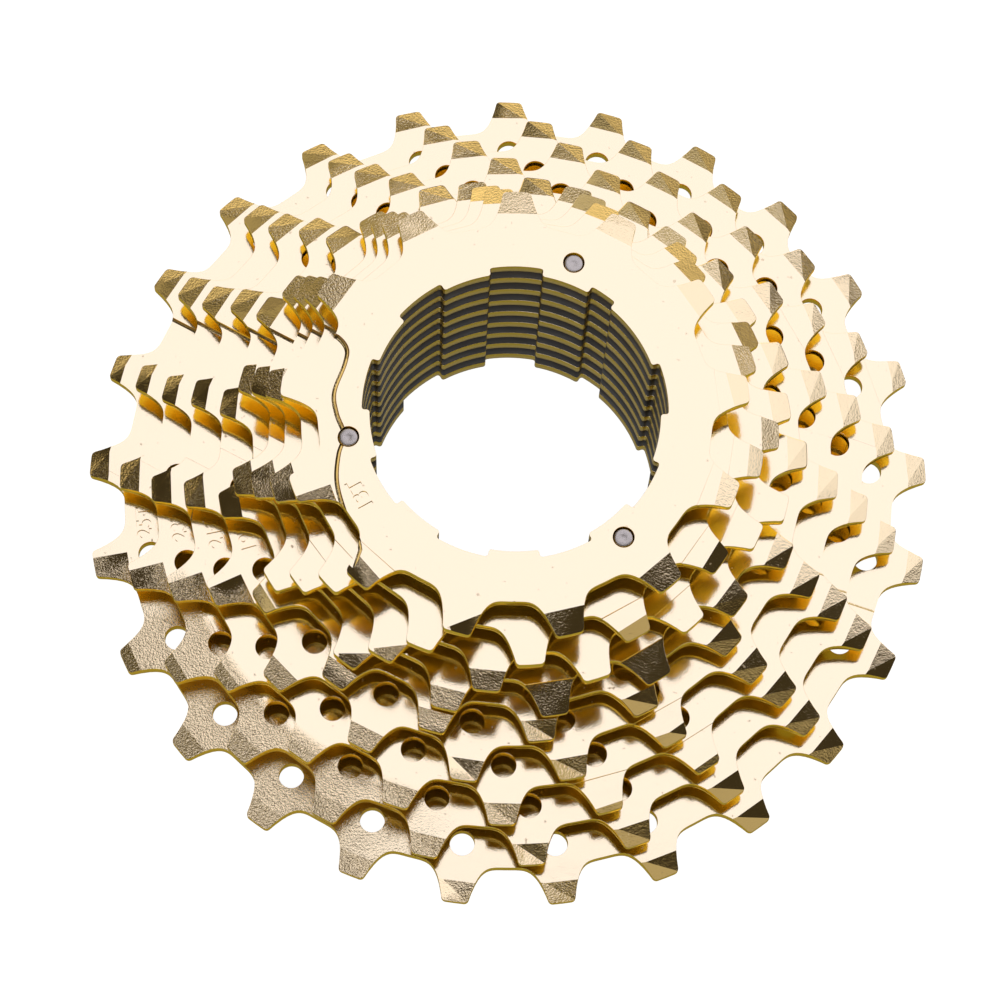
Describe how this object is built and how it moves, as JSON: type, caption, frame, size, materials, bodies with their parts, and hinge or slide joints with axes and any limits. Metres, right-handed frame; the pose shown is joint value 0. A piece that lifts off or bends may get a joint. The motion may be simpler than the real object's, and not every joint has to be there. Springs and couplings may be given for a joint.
{
  "type": "cassette sprocket",
  "caption": "Stepped stack of gold-plated bicycle chain sprockets with black spacers, riveted into one block around a splined bore.",
  "frame": {"origin": "the hub axis at the back face of the largest sprocket, the face the block lies on", "axes": "+Z along the hub axis towards the smallest sprocket; +Y towards one tooth of the largest sprocket"},
  "size_m": [0.1024, 0.1022, 0.0332],
  "materials": {
    "gold_plate": "polished gold-coloured plating on stamped steel",
    "black_plastic": "moulded black plastic, faint sheen",
    "rivet_steel": "bright steel pin"
  },
  "bodies": {
    "root": {"sprocket_25t": "gold_plate", "sprocket_23t": "gold_plate", "sprocket_21t": "gold_plate", "sprocket_19t": "gold_plate", "sprocket_17t": "gold_plate", "sprocket_16t": "gold_plate", "sprocket_15t": "gold_plate", "sprocket_14t": "gold_plate", "sprocket_13t": "gold_plate", "spacer_1": "black_plastic", "spacer_2": "black_plastic", "spacer_3": "black_plastic", "spacer_4": "black_plastic", "spacer_5": "black_plastic", "spacer_6": "black_plastic", "spacer_7": "black_plastic", "spacer_8": "black_plastic", "rivet_1": "rivet_steel", "rivet_2": "rivet_steel", "rivet_3": "rivet_steel"}
  },
  "joints": []
}
